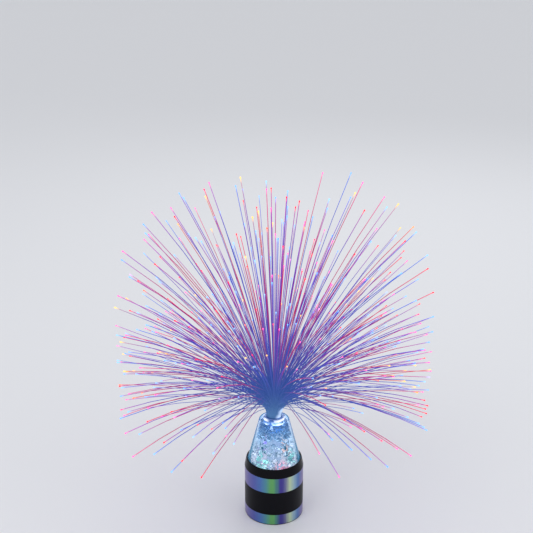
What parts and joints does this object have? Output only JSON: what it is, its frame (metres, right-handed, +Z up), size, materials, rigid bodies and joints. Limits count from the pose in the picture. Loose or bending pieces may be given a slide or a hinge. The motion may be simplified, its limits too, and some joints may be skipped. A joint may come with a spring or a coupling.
{
  "type": "fibre optic lamp",
  "caption": "Battery lamp: a foil-banded round base holds a clear tapering dome of glowing ice chips, topped by a fountain of light-carrying fibres.",
  "frame": {"origin": "on the lamp's axis, at the surface that it stands on", "axes": "+Z up along the axis, the front (where the fibres part) towards -Y, the switch towards +Y"},
  "size_m": [0.3277, 0.2797, 0.3704],
  "materials": {
    "black_shell": "satin black moulded plastic",
    "holographic_foil": "rainbow foil film, upright bands of violet, blue, teal and green",
    "foot_rubber": "matt black rubber",
    "clear_dome": "clear polished plastic",
    "ice_chip": "clear faceted plastic, lit blue and white",
    "light_guide": "clear rod, lit blue",
    "diffuser": "milky white plastic",
    "clear_collar": "clear plastic",
    "ferrule_metal": "bright turned metal",
    "inner_fibre": "light-carrying strand, lit blue to magenta",
    "middle_fibre": "light-carrying strand, lit violet to red",
    "outer_fibre": "light-carrying strand, lit violet to red",
    "black_plate": "textured black moulded plastic",
    "screw_steel": "zinc-plated steel",
    "cell_jacket": "printed metal jacket, plain blue and silver",
    "contact_metal": "nickel-plated spring steel",
    "circuit_board": "green solder mask",
    "led_lens": "clear epoxy lens",
    "component_black": "black moulded component",
    "red_wire": "red insulation",
    "black_wire": "black insulation",
    "switch_white": "pale grey plastic"
  },
  "bodies": {
    "base": {"base_plate": "black_plate", "base_shell": "black_shell", "battery_cell_1": "cell_jacket", "battery_cell_2": "cell_jacket", "battery_cell_3": "cell_jacket", "board_screw_1": "screw_steel", "board_screw_2": "screw_steel", "board_screw_3": "screw_steel", "chamber_floor": "diffuser", "circuit_board": "circuit_board", "contact_leaf_1": "contact_metal", "contact_leaf_2": "contact_metal", "contact_leaf_3": "contact_metal", "controller_chip": "component_black", "foot_ring": "foot_rubber", "ice_chips": "ice_chip", "ice_dome": "clear_dome", "ice_led_1": "led_lens", "ice_led_2": "led_lens", "ice_led_3": "led_lens", "ice_led_4": "led_lens", "light_guide": "light_guide", "linking_contact_1": "contact_metal", "linking_contact_2": "contact_metal", "lower_foil_band": "holographic_foil", "main_led": "led_lens", "negative_contact": "contact_metal", "negative_lead": "black_wire", "plate_screw_1": "screw_steel", "plate_screw_2": "screw_steel", "plate_screw_3": "screw_steel", "positive_contact": "contact_metal", "positive_lead": "red_wire", "resistor_1": "component_black", "resistor_2": "component_black", "resistor_3": "component_black", "retaining_ring": "black_shell", "switch_body": "component_black", "switch_lead": "red_wire", "upper_foil_band": "holographic_foil"},
    "battery_door": {"battery_door": "black_plate"},
    "switch_slider": {"switch_slider": "switch_white"},
    "plug_collar": {"plug_collar": "clear_collar"},
    "fibre_head": {"fibre_ferrule": "ferrule_metal", "inner_fibres": "inner_fibre", "middle_fibres": "middle_fibre", "outer_fibres": "outer_fibre"}
  },
  "joints": [
    {"name": "battery_door_hinge", "type": "hinge", "parent": "base", "child": "battery_door", "pos_m": [0, -0.01795, 0.0026], "axis": [-1, 0, 0], "range_deg": [0, 80]},
    {"name": "switch_slide", "type": "slide", "parent": "base", "child": "switch_slider", "axis": [0, 0, 1], "range_m": [-0.004, 0]},
    {"name": "plug_lift", "type": "slide", "parent": "base", "child": "plug_collar", "axis": [0, 0, 1], "range_m": [0, 0.02]},
    {"name": "fibre_head_turn", "type": "hinge", "parent": "plug_collar", "child": "fibre_head", "pos_m": [0, 0, 0.1156], "axis": [0, 0, 1], "continuous": true}
  ]
}
